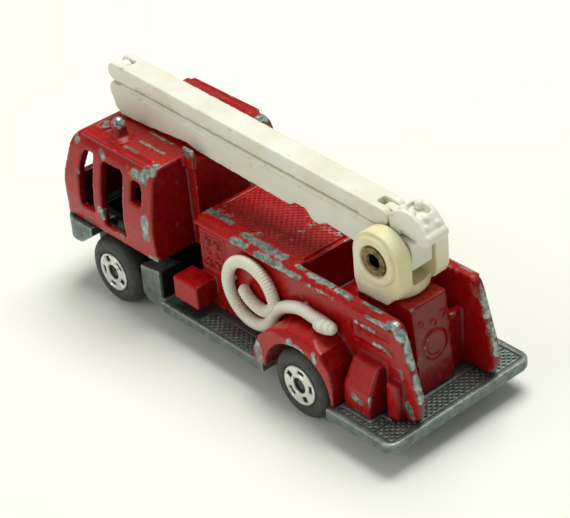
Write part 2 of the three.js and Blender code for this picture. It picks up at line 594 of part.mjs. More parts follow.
// Coiled hose moulded in one piece, with its branch pipe and two pegs into the wall.
function hose() {
  const turned = coilArc(-15, 180).reverse();
  const inner = [[15.9, 13.4], [14.6, 11.8], [12.6, 11.0], [10.6, 11.2]];
  const low = coilArc(-150, 15).reverse();
  const tail = [[8.5, 12.1], [6.5, 13.9], [3.2, 15.2], [0.2, 15.1], NOZZLE];
  const pipe = [[0, -1.9], [0.9, -1.9], [1.15, -1.2], [1.15, 0.2], [0.95, 1.3], [0, 1.8]];
  const lathe = new THREE.LatheGeometry(pipe.map(([r, y]) => new THREE.Vector2(r, y)), 16);
  lathe.rotateZ(-80 * rad);
  lathe.translate(NOZZLE[0], HOSE_Y + 0.45, NOZZLE[1]);
  let h = strand(inner.concat(turned)).add(strand(low.concat(tail))).add(solid(lathe));
  for (const [x, z] of HOSE_PEGS) h = h.add(rodY(x, z, PEG_R, BODY_HALF - 1.0, HOSE_Y, 16));
  return mesh('hose_left', h, ...WHITE);
}

// ---------- assembly ----------
const fireEngine = new THREE.Group();
fireEngine.name = 'toy_fire_engine';
fireEngine.add(bodyShell(), chassis(), ...wheels(), hose());
fireEngine.add(axle('front_axle', WHEELBASE), axle('rear_axle', 0));

const turntable = new THREE.Group();
turntable.name = 'turntable_group';
turntable.position.set(TURN_X, 0, TURN_Z);
turntable.rotation.set(0, 0, SWIVEL_REST * rad);
turntable.add(bracket(), turntableRivet(), eyelet());

const boom = new THREE.Group();
boom.name = 'boom_group';
boom.position.set(PIVOT_X, 0, PIVOT_Z);
boom.rotation.set(0, -LIFT_REST * rad, 0);
boom.add(lowerBoom(), upperBoom(), basket());
boom.add(hingePin('knuckle_pin', KNUCKLE_X), hingePin('basket_pin', BASKET_PIN_X));
turntable.add(boom);
fireEngine.add(turntable);

const middle = STEP_REAR + LENGTH / 2;
for (const child of fireEngine.children) child.position.x -= middle;

export default fireEngine;
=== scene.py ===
# Worn die-cast toy fire engine: fine surfaces, paint, bare metal and plastics over the CAD frame.
import bpy
import math
import numpy as np
from mathutils import Matrix, Vector


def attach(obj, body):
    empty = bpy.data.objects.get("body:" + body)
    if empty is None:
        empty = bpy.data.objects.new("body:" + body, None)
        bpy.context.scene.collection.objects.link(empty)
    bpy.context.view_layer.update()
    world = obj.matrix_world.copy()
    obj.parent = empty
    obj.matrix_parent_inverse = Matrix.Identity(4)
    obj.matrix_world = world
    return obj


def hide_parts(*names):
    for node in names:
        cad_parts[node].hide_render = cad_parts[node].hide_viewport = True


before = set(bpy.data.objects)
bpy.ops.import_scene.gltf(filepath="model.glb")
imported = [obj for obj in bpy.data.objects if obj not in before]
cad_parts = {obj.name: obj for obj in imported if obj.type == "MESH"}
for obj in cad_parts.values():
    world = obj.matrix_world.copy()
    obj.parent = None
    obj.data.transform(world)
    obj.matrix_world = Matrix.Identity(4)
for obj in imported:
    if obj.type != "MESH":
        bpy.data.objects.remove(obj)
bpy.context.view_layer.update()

MM = 0.001
SHIFT = 18.0            # the part's origin, measured forward from the rear axle, in mm


# ---------------------------------------------------------------- camera
CAMERA_TURN = (230.318, 33.530, -4.8583)        # azimuth, elevation and roll, in degrees
CAMERA_AT = (-177.1, 157.8, 179.3)              # mm, x from the rear axle
LENS = 129.54                                   # mm, for a sensor of SENSOR mm
SENSOR = 36.0
LENS_SHIFT = (-0.02789474, -0.01114035)         # as shares of the picture's width


def make_camera():
    a, e, roll = (math.radians(d) for d in CAMERA_TURN)
    back = Vector((math.sin(a) * math.cos(e), -math.cos(a) * math.cos(e), math.sin(e)))
    right = Vector((math.cos(a), math.sin(a), 0.0))
    up = back.cross(right)
    r2 = math.cos(roll) * right + math.sin(roll) * up
    u2 = -math.sin(roll) * right + math.cos(roll) * up
    data = bpy.data.cameras.new("camera")
    cam = bpy.data.objects.new("camera", data)
    bpy.context.scene.collection.objects.link(cam)
    m = Matrix((r2, u2, back)).transposed().to_4x4()
    m.translation = Vector((CAMERA_AT[0] - SHIFT, CAMERA_AT[1], CAMERA_AT[2])) * MM
    cam.matrix_world = m
    data.sensor_width = SENSOR
    data.lens = LENS
    data.shift_x, data.shift_y = LENS_SHIFT
    data.clip_start = 0.01
    data.clip_end = 10.0
    bpy.context.scene.camera = cam


# ---------------------------------------------------------------- mesh helpers
# Points are in mm, with x from the rear axle, until to_object or Lump.piece turns them into a mesh.
SOFTEN = 3              # smoothing steps that round an edge
CURVE_STEPS = 10        # smoothing steps that show how far a point stands out


def to_object(name, verts, faces, material, body):
    v = np.asarray(verts, dtype=np.float64).copy()
    v[:, 0] -= SHIFT
    mesh = bpy.data.meshes.new(name)
    mesh.from_pydata((v * MM).tolist(), [], [tuple(int(i) for i in f) for f in faces])
    mesh.validate()
    obj = bpy.data.objects.new(name, mesh)
    bpy.context.scene.collection.objects.link(obj)
    finish_piece(obj, material, body)
    return obj


def finish_piece(obj, material, body):
    obj.data.materials.clear()
    obj.data.materials.append(material)
    obj.data.polygons.foreach_set("use_smooth", [True] * len(obj.data.polygons))
    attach(obj, body)


def cad_mesh(node):
    """Vertices in mm with x from the rear axle, and faces, of a CAD node at rest."""
    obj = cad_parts[node]
    w = obj.matrix_world
    v = np.array([w @ p.co for p in obj.data.vertices]) / MM
    v[:, 0] += SHIFT
    return v, [tuple(p.vertices) for p in obj.data.polygons]


class Lump:
    """A heap of closed shapes that a voxel remesh turns into one soft-edged casting."""

    def __init__(self, node=None):
        self.v, self.f = [], []
        self.n = 0
        if node:
            v, f = cad_mesh(node)
            self.add(v, f)

    def add(self, v, f):
        v = np.asarray(v, dtype=float)
        self.v.append(v)
        self.f += [tuple(i + self.n for i in face) for face in f]
        self.n += len(v)

    def box(self, x0, x1, y0, y1, z0, z1):
        v = [(x, y, z) for x in (x0, x1) for y in (y0, y1) for z in (z0, z1)]
        self.add(v, [(0, 1, 3, 2), (4, 6, 7, 5), (0, 4, 5, 1), (2, 3, 7, 6), (0, 2, 6, 4), (1, 5, 7, 3)])

    def rod(self, a, b, r0, r1=None, seg=14):
        a, b = np.asarray(a, float), np.asarray(b, float)
        r1 = r0 if r1 is None else r1
        d = (b - a) / np.linalg.norm(b - a)
        h = np.cross(d, (0.0, 0.0, 1.0)) if abs(d[2]) < 0.9 else np.cross(d, (1.0, 0.0, 0.0))
        h /= np.linalg.norm(h)
        k = np.cross(d, h)
        t = np.arange(seg) * 2 * math.pi / seg
        ring = np.cos(t)[:, None] * h + np.sin(t)[:, None] * k
        v = np.vstack([a + ring * r0, b + ring * r1])
        f = [(i, (i + 1) % seg, seg + (i + 1) % seg, seg + i) for i in range(seg)]
        f += [tuple(reversed(range(seg))), tuple(range(seg, 2 * seg))]
        self.add(v, f)

    def ball(self, c, r, seg=14):
        rows = seg // 2
        v = [(0, 0, 1)]
        for i in range(1, rows):
            p = math.pi * i / rows
            v += [(math.sin(p) * math.cos(t), math.sin(p) * math.sin(t), math.cos(p))
                  for t in (2 * math.pi * j / seg for j in range(seg))]
        v.append((0, 0, -1))
        f = [(0, 1 + j, 1 + (j + 1) % seg) for j in range(seg)]
        for i in range(rows - 2):
            a = 1 + i * seg
            f += [(a + j, a + seg + j, a + seg + (j + 1) % seg, a + (j + 1) % seg) for j in range(seg)]
        last = 1 + (rows - 2) * seg
        f += [(last + j, len(v) - 1, last + (j + 1) % seg) for j in range(seg)]
        self.add(np.array(v) * r + np.array(c), f)

    def piece(self, name, node, voxel, material, body):
        """Remeshes the heap, softens it and puts it in the place of a CAD node."""
        v = np.vstack(self.v)
        v[:, 0] -= SHIFT
        mesh = bpy.data.meshes.new(name + "_raw")
        mesh.from_pydata((v * MM).tolist(), [], self.f)
        obj = bpy.data.objects.new(name + "_raw", mesh)
        bpy.context.scene.collection.objects.link(obj)
        mod = obj.modifiers.new("remesh", "REMESH")
        mod.mode = "VOXEL"
        mod.voxel_size = voxel * MM
        mod.adaptivity = 0.0
        deps = bpy.context.evaluated_depsgraph_get()
        made = bpy.data.meshes.new_from_object(obj.evaluated_get(deps))
        made.name = name
        bpy.data.objects.remove(obj)
        bpy.data.meshes.remove(mesh)
        out = bpy.data.objects.new(name, made)
        bpy.context.scene.collection.objects.link(out)
        soften_mesh(made, voxel)
        finish_piece(out, material, body)
        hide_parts(node)
        return out


def mesh_arrays(mesh):
    n = len(mesh.vertices)
    v = np.empty(n * 3)
    mesh.vertices.foreach_get("co", v)
    e = np.empty(len(mesh.edges) * 2, dtype=np.int64)
    mesh.edges.foreach_get("vertices", e)
    return v.reshape(-1, 3), e.reshape(-1, 2)


def relax(v, e, count, amount=0.6):
    """Moves each point towards the middle of its neighbours, count times."""
    n = len(v)
    deg = np.bincount(e.ravel(), minlength=n).astype(float)
    deg[deg == 0] = 1
    for _ in range(count):
        acc = np.empty_like(v)
        for k in range(3):
            acc[:, k] = np.bincount(e[:, 0], v[e[:, 1], k], n) + np.bincount(e[:, 1], v[e[:, 0], k], n)
        v = v + amount * (acc / deg[:, None] - v)
    return v


def soften_mesh(mesh, voxel):
    """Rounds the edges a little and stores how far each point stands out as the attribute 'edge'."""
    v, e = mesh_arrays(mesh)
    v1 = relax(v, e, SOFTEN)
    mesh.vertices.foreach_set("co", v1.ravel())
    mesh.update()
    nrm = np.empty(len(v1) * 3)
    mesh.vertices.foreach_get("normal", nrm)
    nrm = nrm.reshape(-1, 3)
    v2 = relax(v1, e, CURVE_STEPS)
    edge = ((v1 - v2) * nrm).sum(1) / (voxel * MM)
    put_attribute(mesh, "edge", edge)


def put_attribute(mesh, name, values):
    a = mesh.attributes.new(name, "FLOAT", "POINT")
    a.data.foreach_set("value", np.asarray(values, dtype=np.float32))


def points_mm(mesh):
    """A mesh's points in mm, with x from the rear axle."""
    v = np.empty(len(mesh.vertices) * 3)
    mesh.vertices.foreach_get("co", v)
    v = v.reshape(-1, 3) / MM
    v[:, 0] += SHIFT
    return v


# ---------------------------------------------------------------- material helpers
SOCKETS = {"color": "Base Color", "rough": "Roughness", "metal": "Metallic", "normal": "Normal",
           "coat": "Coat Weight", "coat_rough": "Coat Roughness", "sss": "Subsurface Weight",
           "sss_scale": "Subsurface Scale", "spec": "Specular IOR Level"}


class Nodes:
    """A procedural material, built node by node."""

    def __init__(self, name):
        self.mat = bpy.data.materials.new(name)
        self.mat.use_nodes = True
        self.t = self.mat.node_tree
        self.bsdf = self.t.nodes["Principled BSDF"]
        self.coord = self.t.nodes.new("ShaderNodeTexCoord").outputs["Object"]

    def link(self, a, b):
        self.t.links.new(a, b)

    def value(self, node, key, v):
        if isinstance(v, bpy.types.NodeSocket):
            self.link(v, node.inputs[key])
        else:
            node.inputs[key].default_value = v

    def noise(self, per_mm, detail=3.0, rough=0.55, stretch=None):
        src = self.coord
        if stretch:
            m = self.t.nodes.new("ShaderNodeMapping")
            m.inputs["Scale"].default_value = stretch
            self.link(src, m.inputs["Vector"])
            src = m.outputs["Vector"]
        n = self.t.nodes.new("ShaderNodeTexNoise")
        self.link(src, n.inputs["Vector"])
        n.inputs["Scale"].default_value = per_mm * 1000
        n.inputs["Detail"].default_value = detail
        n.inputs["Roughness"].default_value = rough
        return n.outputs["Fac"]

    def attr(self, name):
        n = self.t.nodes.new("ShaderNodeAttribute")
        n.attribute_name = name
        return n.outputs["Fac"]

    def math(self, op, a, b):
        n = self.t.nodes.new("ShaderNodeMath")
        n.operation = op
        self.value(n, 0, a)
        self.value(n, 1, b)
        return n.outputs[0]

    def swing(self, noise, amount):
        """A noise about nought instead of about a half, times amount."""
        return self.math("MULTIPLY", self.math("SUBTRACT", noise, 0.5), amount)

    def ramp(self, fac, lo, hi, a=0.0, b=1.0):
        n = self.t.nodes.new("ShaderNodeMapRange")
        n.interpolation_type = "SMOOTHSTEP"
        self.value(n, "Value", fac)
        n.inputs["From Min"].default_value = lo
        n.inputs["From Max"].default_value = hi
        n.inputs["To Min"].default_value = a
        n.inputs["To Max"].default_value = b
        return n.outputs["Result"]

    def mix(self, fac, a, b):
        n = self.t.nodes.new("ShaderNodeMix")
        n.data_type = "RGBA"
        self.value(n, 0, fac)
        for key, v in ((6, a), (7, b)):
            if isinstance(v, tuple):
                n.inputs[key].default_value = (*v, 1.0)
            else:
                self.link(v, n.inputs[key])
        return n.outputs[2]

    def bump(self, height, strength, distance_mm, normal=None):
        n = self.t.nodes.new("ShaderNodeBump")
        n.inputs["Strength"].default_value = strength
        n.inputs["Distance"].default_value = distance_mm * MM
        self.link(height, n.inputs["Height"])
        if normal is not None:
            self.link(normal, n.inputs["Normal"])
        return n.outputs["Normal"]

    def set(self, **kw):
        for k, v in kw.items():
            sock = self.bsdf.inputs[SOCKETS[k]]
            if isinstance(v, bpy.types.NodeSocket):
                self.link(v, sock)
            elif isinstance(v, tuple):
                sock.default_value = (*v, 1.0)
            else:
                sock.default_value = v
        return self.mat


def red_enamel():
    m = Nodes("red_enamel")
    edge, chip = m.attr("edge"), m.attr("chip")
    big, mid, fine = m.noise(0.16, 2), m.noise(0.9, 4, 0.6), m.noise(5.0, 3, 0.6)
    # edges rubbed through in patches, and the placed chips
    patch = m.ramp(big, 0.50, 0.62, -0.55, 0.22)
    rub = m.math("ADD", m.math("MULTIPLY", edge, 0.62), patch)
    rub = m.math("ADD", rub, m.swing(mid, 1.3))
    ragged = m.math("ADD", m.swing(mid, 1.5), m.swing(fine, 0.5))
    placed = m.math("ADD", chip, ragged)
    bare = m.math("MAXIMUM", m.ramp(rub, 0.46, 0.50), m.ramp(placed, 0.30, 0.36))
    # painted highlight: a pale band along the border of the bare patches and chips, where the paint's edge
    # would catch the light
    rim = m.math("MAXIMUM", m.ramp(rub, 0.36, 0.45), m.ramp(placed, 0.14, 0.29))
    rim = m.math("MULTIPLY", rim, m.math("SUBTRACT", 1.0, bare))
    red = m.mix(m.ramp(mid, 0.3, 0.7), (0.33, 0.002, 0.003), (0.41, 0.006, 0.005))
    # painted shade: creases and hollows, where 'edge' is below nought, are darkened to deep maroon
    painted_crease_shade = m.ramp(edge, -0.45, -0.02, 1.0, 0.0)
    red = m.mix(m.math("MULTIPLY", painted_crease_shade, 0.55), red, (0.08, 0.0, 0.003))
    # the pale band of painted highlight is mixed into the red here
    red = m.mix(m.math("MULTIPLY", rim, 0.5), red, (0.55, 0.25, 0.20))
    # painted shade: the 'dark' attribute turns faces that look back and the inside of the cab near-black
    # maroon
    red = m.mix(m.attr("dark"), red, (0.030, 0.0, 0.003))
    zinc = m.mix(m.ramp(m.noise(1.3, 3, 0.6), 0.38, 0.64), (0.15, 0.19, 0.18), (0.42, 0.48, 0.45))
    color = m.mix(bare, red, zinc)
    rough = m.math("ADD", m.ramp(mid, 0.3, 0.7, 0.22, 0.34), m.math("MULTIPLY", bare, 0.12))
    n = m.bump(m.math("MULTIPLY", bare, -1.0), 1.0, 0.12)
    n = m.bump(m.noise(1.6, 3, 0.6), 0.45, 0.08, n)
    n = m.bump(fine, 0.25, 0.03, n)
    return m.set(color=color, rough=rough, metal=m.math("MULTIPLY", bare, 0.7), normal=n,
                 spec=0.32, coat=0.06, coat_rough=0.1)


def bare_zinc():
    m = Nodes("bare_zinc")
    edge = m.attr("edge")
    mid, fine = m.noise(0.7, 4, 0.6), m.noise(4.0, 4, 0.65)
    base = m.mix(m.ramp(mid, 0.3, 0.7), (0.10, 0.125, 0.115), (0.19, 0.23, 0.21))
    # edges that stand out are lightened: partly real wear of the bare metal, partly painted highlight for
    # glints
    worn_edge_and_painted_glint = m.ramp(m.math("ADD", edge, m.swing(fine, 1.2)), 0.15, 0.75)
    base = m.mix(m.math("MULTIPLY", worn_edge_and_painted_glint, 0.7), base, (0.60, 0.66, 0.62))
    grime = m.ramp(edge, -0.5, -0.05, 1.0, 0.0)
    base = m.mix(m.math("MULTIPLY", grime, 0.8), base, (0.055, 0.045, 0.032))
    # painted shadow: the 'dark' attribute turns the pan under the cab near-black
    base = m.mix(m.attr("dark"), base, (0.006, 0.006, 0.006))
    n = m.bump(fine, 0.5, 0.06)
    n = m.bump(mid, 0.4, 0.12, n)
    return m.set(color=base, rough=m.ramp(fine, 0.2, 0.8, 0.34, 0.52), metal=0.8, normal=n)


def aged_plastic(name, a, b, dirt):
    m = Nodes(name)
    edge = m.attr("edge")
    big, mid, fine = m.noise(0.12, 3), m.noise(0.8, 4, 0.6), m.noise(6.0, 3, 0.6)
    col = m.mix(m.ramp(big, 0.35, 0.65), a, b)
    grime = m.math("ADD", m.math("MULTIPLY", edge, -1.0), m.swing(mid, 0.8))
    col = m.mix(m.ramp(grime, 0.15, 0.85, 0.0, 0.6), col, dirt)
    spots = m.ramp(m.noise(1.1, 2, 0.5, stretch=(0.5, 1, 1)), 0.715, 0.75)
    col = m.mix(m.math("MULTIPLY", spots, 0.4), col, dirt)
    n = m.bump(mid, 0.25, 0.10)
    n = m.bump(fine, 0.2, 0.02, n)
    return m.set(color=col, rough=m.ramp(mid, 0.3, 0.7, 0.38, 0.52), normal=n, sss=0.12, sss_scale=0.0008)


def black_plastic():
    m = Nodes("black_plastic")
    mid, fine = m.noise(0.9, 4, 0.6), m.noise(5.0, 4, 0.6)
    foil = m.attr("foil")
    dark = m.mix(m.ramp(mid, 0.3, 0.7), (0.016, 0.018, 0.016), (0.036, 0.040, 0.035))
    dust = m.ramp(fine, 0.62, 0.78)
    dark = m.mix(m.math("MULTIPLY", dust, 0.35), dark, (0.16, 0.16, 0.14))
    silver = m.mix(mid, (0.62, 0.63, 0.58), (0.86, 0.86, 0.80))
    lost = m.ramp(m.noise(1.6, 4, 0.7), 0.64, 0.68)
    on = m.math("MULTIPLY", m.ramp(foil, 0.45, 0.55), m.math("SUBTRACT", 1.0, lost))
    n = m.bump(fine, 0.25, 0.05)
    return m.set(color=m.mix(on, dark, silver), rough=m.ramp(on, 0.0, 1.0, 0.52, 0.30),
                 metal=m.math("MULTIPLY", on, 0.7), normal=n)


def plain_metal(name, a, b, rough):
    m = Nodes(name)
    mid, fine = m.noise(1.2, 4, 0.6), m.noise(7.0, 3, 0.6)
    n = m.bump(fine, 0.3, 0.03)
    return m.set(color=m.mix(m.ramp(mid, 0.35, 0.65), a, b),
                 rough=m.ramp(fine, 0.2, 0.8, rough, rough + 0.2), metal=1.0, normal=n)


RED = red_enamel()
ZINC = bare_zinc()
WHITE = aged_plastic("white_plastic", (0.83, 0.83, 0.76), (0.76, 0.74, 0.61), (0.40, 0.35, 0.22))
CREAM = aged_plastic("cream_plastic", (0.83, 0.80, 0.64), (0.78, 0.71, 0.43), (0.45, 0.36, 0.15))
BLACK = black_plastic()
STEEL = plain_metal("steel_wire", (0.45, 0.45, 0.43), (0.28, 0.27, 0.25), 0.3)
BRASS = plain_metal("tarnished_brass", (0.24, 0.185, 0.085), (0.10, 0.075, 0.035), 0.26)
# painted shade: the axle steel is coloured dark so that the hub centres read as black holes
AXLE_STEEL_PAINTED_DARK = plain_metal("axle_steel_painted_dark", (0.16, 0.14, 0.12), (0.06, 0.055, 0.05), 0.35)


# ---------------------------------------------------------------- body casting
# Places where the enamel is gone: two ends and a radius, in mm. x is from the rear axle, z from the ground.
CHIPS = [
    # cab: roof corners and edges, side panel, sill
    (37.8, 12.0, 26.0, 35.9, 12.0, 25.8, 0.8),
    (35.9, 12.0, 25.6, 33.5, 12.1, 25.2, 1.2),
    (33.5, 11.7, 25.8, 32.2, 11.0, 26.8, 1.28),
    (32.4, 11.3, 26.9, 32.3, 10.0, 27.0, 0.96),
    (32.8, 12.9, 18.9, 32.9, 12.9, 15.9, 1.15),
    (29.2, 5.5, 28.7, 31.0, 5.3, 28.5, 1.4),
    (32.6, 12.7, 12.1, 31.3, 12.6, 12.2, 0.88),
    (48.6, 12.9, 11.9, 46.9, 12.9, 11.9, 0.8),
    (44.0, 12.9, 15.9, 42.8, 12.9, 14.5, 1.04),
    (50.1, 11.6, 26.4, 49.5, 11.6, 25.6, 0.88),
    (43.8, 11.8, 25.9, 42.9, 11.8, 25.2, 0.8),
    (31.2, -9.3, 27.2, 31.3, -10.6, 26.4, 0.96),
    (43.0, 8.1, 30.3, 43.0, 8.1, 29.7, 1.5),
    (40.2, 9.5, 27.3, 37.0, 9.5, 27.3, 0.36),
    (39.4, 7.1, 27.3, 34.0, 7.1, 27.3, 0.4),
    (40.0, 4.5, 27.3, 35.0, 4.5, 27.3, 0.34),
    (47.5, 7.0, 27.6, 46.4, 8.2, 27.6, 0.64),
    # tops of the walls and the ledge outside the left one
    (25.8, 6.3, 20.4, 23.8, 6.0, 20.4, 1.04),
    (23.8, 5.9, 20.4, 20.7, 6.2, 20.4, 0.72),
    (16.9, 6.9, 20.4, 8.4, 7.2, 20.4, 1.04),
    (17.8, 8.5, 19.9, 15.3, 8.4, 19.9, 0.8),
    (12.6, 8.7, 19.9, 7.8, 8.6, 19.9, 0.8),
    (7.8, 8.7, 19.9, 3.7, 8.6, 19.9, 0.56),
    (5.4, 7.2, 20.4, 4.2, 7.2, 20.4, 0.56),
    (2.4, 7.5, 20.4, -1.7, 7.3, 20.4, 0.8),
    (-3.1, 7.4, 20.4, -5.7, 7.7, 20.4, 0.72),
    (-8.1, 6.9, 20.4, -11.2, 7.1, 20.4, 0.8),
    (-9.9, 8.8, 19.9, -14.0, 8.7, 19.9, 0.48),
    # left fin
    (-14.2, 7.8, 20.2, -15.8, 7.6, 18.3, 1.05),
    (-16.3, 7.5, 17.3, -17.3, 7.5, 14.4, 0.95),
    (-17.9, 7.5, 12.8, -18.3, 7.5, 11.0, 0.85),
    (-18.5, 7.5, 9.8, -18.6, 7.5, 9.2, 0.72),
    (-16.7, 8.2, 8.0, -17.2, 8.2, 6.6, 0.8),
    (-4.2, 8.2, 19.1, -4.4, 8.2, 18.9, 0.4),
    (-7.4, 8.4, 17.5, -7.5, 8.4, 17.4, 0.4),
    (-8.5, 8.4, 17.4, -10.9, 8.4, 17.5, 0.4),
    (-10.5, 8.4, 15.4, -12.3, 8.4, 15.6, 0.4),
    (-13.0, 8.4, 15.3, -13.8, 8.2, 14.8, 0.4),
    (-15.4, 8.2, 13.1, -15.7, 8.2, 12.1, 0.48),
    # right fin
    (-11.6, -8.1, 20.4, -13.5, -8.1, 20.3, 0.72),
    (-14.8, -7.4, 19.0, -15.9, -7.4, 17.2, 1.04),
    (-15.9, -7.4, 17.1, -16.9, -7.4, 15.0, 0.88),
    (-16.8, -7.4, 13.7, -17.6, -7.4, 11.9, 0.88),
    (-17.6, -7.4, 11.0, -18.4, -7.4, 9.3, 0.88),
    (-17.6, -7.4, 8.0, -17.9, -7.4, 6.0, 0.8),
    # left fender and wedge
    (1.5, 13.2, 12.1, -0.9, 13.2, 11.7, 1.04),
    (-0.9, 13.2, 11.4, -2.8, 13.2, 10.4, 0.72),
    (-4.4, 13.2, 8.5, -5.9, 13.2, 6.8, 0.72),
    (-3.4, 12.9, 12.6, -3.7, 13.2, 11.6, 0.56),
    (8.7, 13.2, 8.6, 8.3, 13.2, 6.0, 1.04),
    (-9.6, 11.6, 7.8, -10.9, 11.6, 7.3, 0.72),
    # the right-hand side and the front, which the photo doesn't show, so these are invented
    (36.0, -12.0, 25.7, 33.0, -12.1, 25.4, 0.96),
    (48.5, -12.9, 12.0, 46.5, -12.9, 12.1, 0.88),
    (32.0, -12.8, 14.0, 31.8, -12.8, 12.2, 0.96),
    (53.4, 4.0, 16.5, 53.3, -3.0, 16.6, 0.72),
    (52.6, -9.5, 15.0, 52.6, -10.5, 13.0, 1.04),
    (14.0, -8.7, 19.9, 5.0, -8.7, 19.9, 0.72),
    (-2.0, -7.4, 20.4, -6.0, -7.4, 20.4, 0.8),
    (3.5, -13.2, 12.0, 0.0, -13.2, 12.0, 0.96),
    (-5.2, -13.2, 8.0, -5.8, -13.2, 6.0, 0.88),
    (24.0, -12.1, 10.5, 28.0, -12.1, 10.6, 0.64),
]


BEACON_CAP = (43.0, 8.1, 29.4)
BEACON_CAP_R = 1.05
GAUGE_R, GAUGE_WIRE, GAUGE_PARTS = 1.9, 0.26, 20
GAUGE_Z = 12.6
TAIL_X, TAIL_LEAN = -14.1, 0.101                # the tail's face, and how far it leans for each mm up
RAIL_Y, RAIL_Z, RAIL_R = 10.9, 26.95, 0.24      # drip rails along the roof
CAB_X, CAB_Z, CAB_HALF = (31.9, 52.9), (11.5, 26.2), 12.0       # the inside of the cab, which gets painted shade
CASTING_VOXEL = 0.2


def chip_field(v):
    """1 at the middle of a chip, 0 at its border and -1 at the least, for each point."""
    out = np.full(len(v), -1.0)
    for x0, y0, z0, x1, y1, z1, r in CHIPS:
        a, b = np.array((x0, y0, z0)), np.array((x1, y1, z1))
        d = b - a
        t = np.clip(((v - a) @ d) / max(d @ d, 1e-9), 0, 1)
        dist = np.linalg.norm(v - a - t[:, None] * d, axis=1)
        out = np.maximum(out, 1.0 - dist / r)
    return out


def make_body():
    b = Lump("body_shell")
    # stub that keeps the boom in line behind the cab, and the cap of the beacon
    b.box(28.9, 31.2, 5.2, 5.75, 25.5, 28.8)
    b.ball(BEACON_CAP, BEACON_CAP_R)
    # ring round the gauge on the tail
    turns = [math.radians(360 // GAUGE_PARTS * i) for i in range(GAUGE_PARTS + 1)]
    ring = [(TAIL_X + TAIL_LEAN * (3.0 + GAUGE_R * math.sin(t)) - 0.1,
             GAUGE_R * math.cos(t), GAUGE_Z + GAUGE_R * math.sin(t)) for t in turns]
    for start, end in zip(ring, ring[1:]):
        b.rod(start, end, GAUGE_WIRE, seg=8)
    for y in (RAIL_Y, -RAIL_Y):
        b.rod((33.2, y, RAIL_Z), (48.6, y, RAIL_Z), RAIL_R)
    for s in (1, -1):
        wall_details(b, s)
    body = b.piece("body_casting", "body_shell", CASTING_VOXEL, RED, "body")
    v = points_mm(body.data)
    put_attribute(body.data, "chip", chip_field(v))
    n = np.empty(len(v) * 3)
    body.data.vertices.foreach_get("normal", n)
    # faces that look back and the inside of the cab, whose walls lean in above the waist, are darkened as
    # painted shade
    dark = np.clip((-n[0::3] - 0.35) / 0.4, 0, 1) * 0.5
    inside = (v[:, 0] > CAB_X[0]) & (v[:, 0] < CAB_X[1]) & (v[:, 2] > CAB_Z[0]) & (v[:, 2] < CAB_Z[1])
    inside &= np.abs(v[:, 1]) < CAB_HALF - 0.25 * np.clip(v[:, 2] - 19, 0, 9)
    put_attribute(body.data, "dark", np.maximum(dark, inside * 0.72))


def wall_details(b, s):
    """Raised frame on the fin, pump panel ahead of the hose and ribs on the small block, one side."""
    def slab(x0, x1, z0, z1, y0=8.0, y1=8.4):
        b.box(x0, x1, min(s * y0, s * y1), max(s * y0, s * y1), z0, z1)

    slab(-13.7, -6.6, 17.2, 17.65)
    slab(-14.2, -6.6, 15.1, 15.55)
    slab(-7.0, -6.6, 15.1, 17.65)
    slab(-15.4, -13.9, 13.1, 13.5)
    slab(20.3, 25.8, 18.2, 18.6)
    slab(20.3, 25.8, 11.6, 12.0)
    slab(20.3, 20.7, 11.6, 18.6)
    slab(25.4, 25.8, 11.6, 18.6)
    for x in (22.0, 24.0):
        for z in (13.4, 16.9):
            b.rod((x, s * 7.8, z), (x, s * 8.75, z), 0.55)
        b.rod((x, s * 7.8, 15.2), (x, s * 8.6, 15.2), 0.35)
    for i in range(4):
        slab(-15.9 + 0.58 * i, -15.6 + 0.58 * i, 5.6, 11.0, 9.1, 9.5)


TREAD_PITCH, TREAD_STEP, TREAD_THICK = 0.74, 0.093, 0.3


def knurl(x, y, depth):
    """Height of a diamond pattern of pits, nought or less, over the plane."""
    across, along = [np.clip(np.cos(2 * math.pi * u / TREAD_PITCH) + 0.25, 0, 1)
                     for u in ((x + y) / math.sqrt(2), (x - y) / math.sqrt(2))]
    return -depth * (across * along)


def tread(name, x0, x1, y0, y1, z, depth, material):
    """A slab whose top carries a rolled pattern, fading to flat at its border."""
    xs = np.arange(x0, x1 + TREAD_STEP / 2, TREAD_STEP)
    ys = np.arange(y0, y1 + TREAD_STEP / 2, TREAD_STEP)
    gx, gy = np.meshgrid(xs, ys, indexing="ij")
    h = knurl(gx, gy, depth)
    border = np.minimum.reduce([gx - x0, x1 - gx, gy - y0, y1 - gy])
    h = h * np.clip(border / (0.5 * TREAD_PITCH), 0, 1)
    top = np.stack([gx.ravel(), gy.ravel(), (z + h).ravel()], 1)
    low = np.stack([gx.ravel(), gy.ravel(), np.full(gx.size, z - TREAD_THICK)], 1)
    nx, ny = gx.shape
    idx = np.arange(nx * ny).reshape(nx, ny)
    quads = np.stack([idx[:-1, :-1], idx[1:, :-1], idx[1:, 1:], idx[:-1, 1:]], -1).reshape(-1, 4)
    off = nx * ny
    rim = list(idx[:, 0]) + list(idx[-1, 1:]) + list(idx[-2::-1, -1]) + list(idx[0, -2:0:-1])
    faces = [tuple(q) for q in quads] + [tuple(reversed(q + off)) for q in quads]
    for i in range(len(rim)):
        a, c = rim[i], rim[(i + 1) % len(rim)]
        faces.append((a, a + off, c + off, c))
    obj = to_object(name, np.vstack([top, low]), faces, material, "body")
    # the pits get a low 'edge', so on red enamel they take the painted crease shade and on zinc the grime of
    # hollows
    e = np.concatenate([(h / depth * 0.85 + 0.22).ravel(), np.zeros(off)])
    put_attribute(obj.data, "edge", e)
    put_attribute(obj.data, "chip", chip_field(points_mm(obj.data)))


def base_tread(name, x0, x1, y0, y1, z):
    tread(name, x0, x1, y0, y1, z, 0.24, ZINC)


BOARD_Z, STEP_Z = 5.2, 5.1      # tops of the running boards and of the rear step


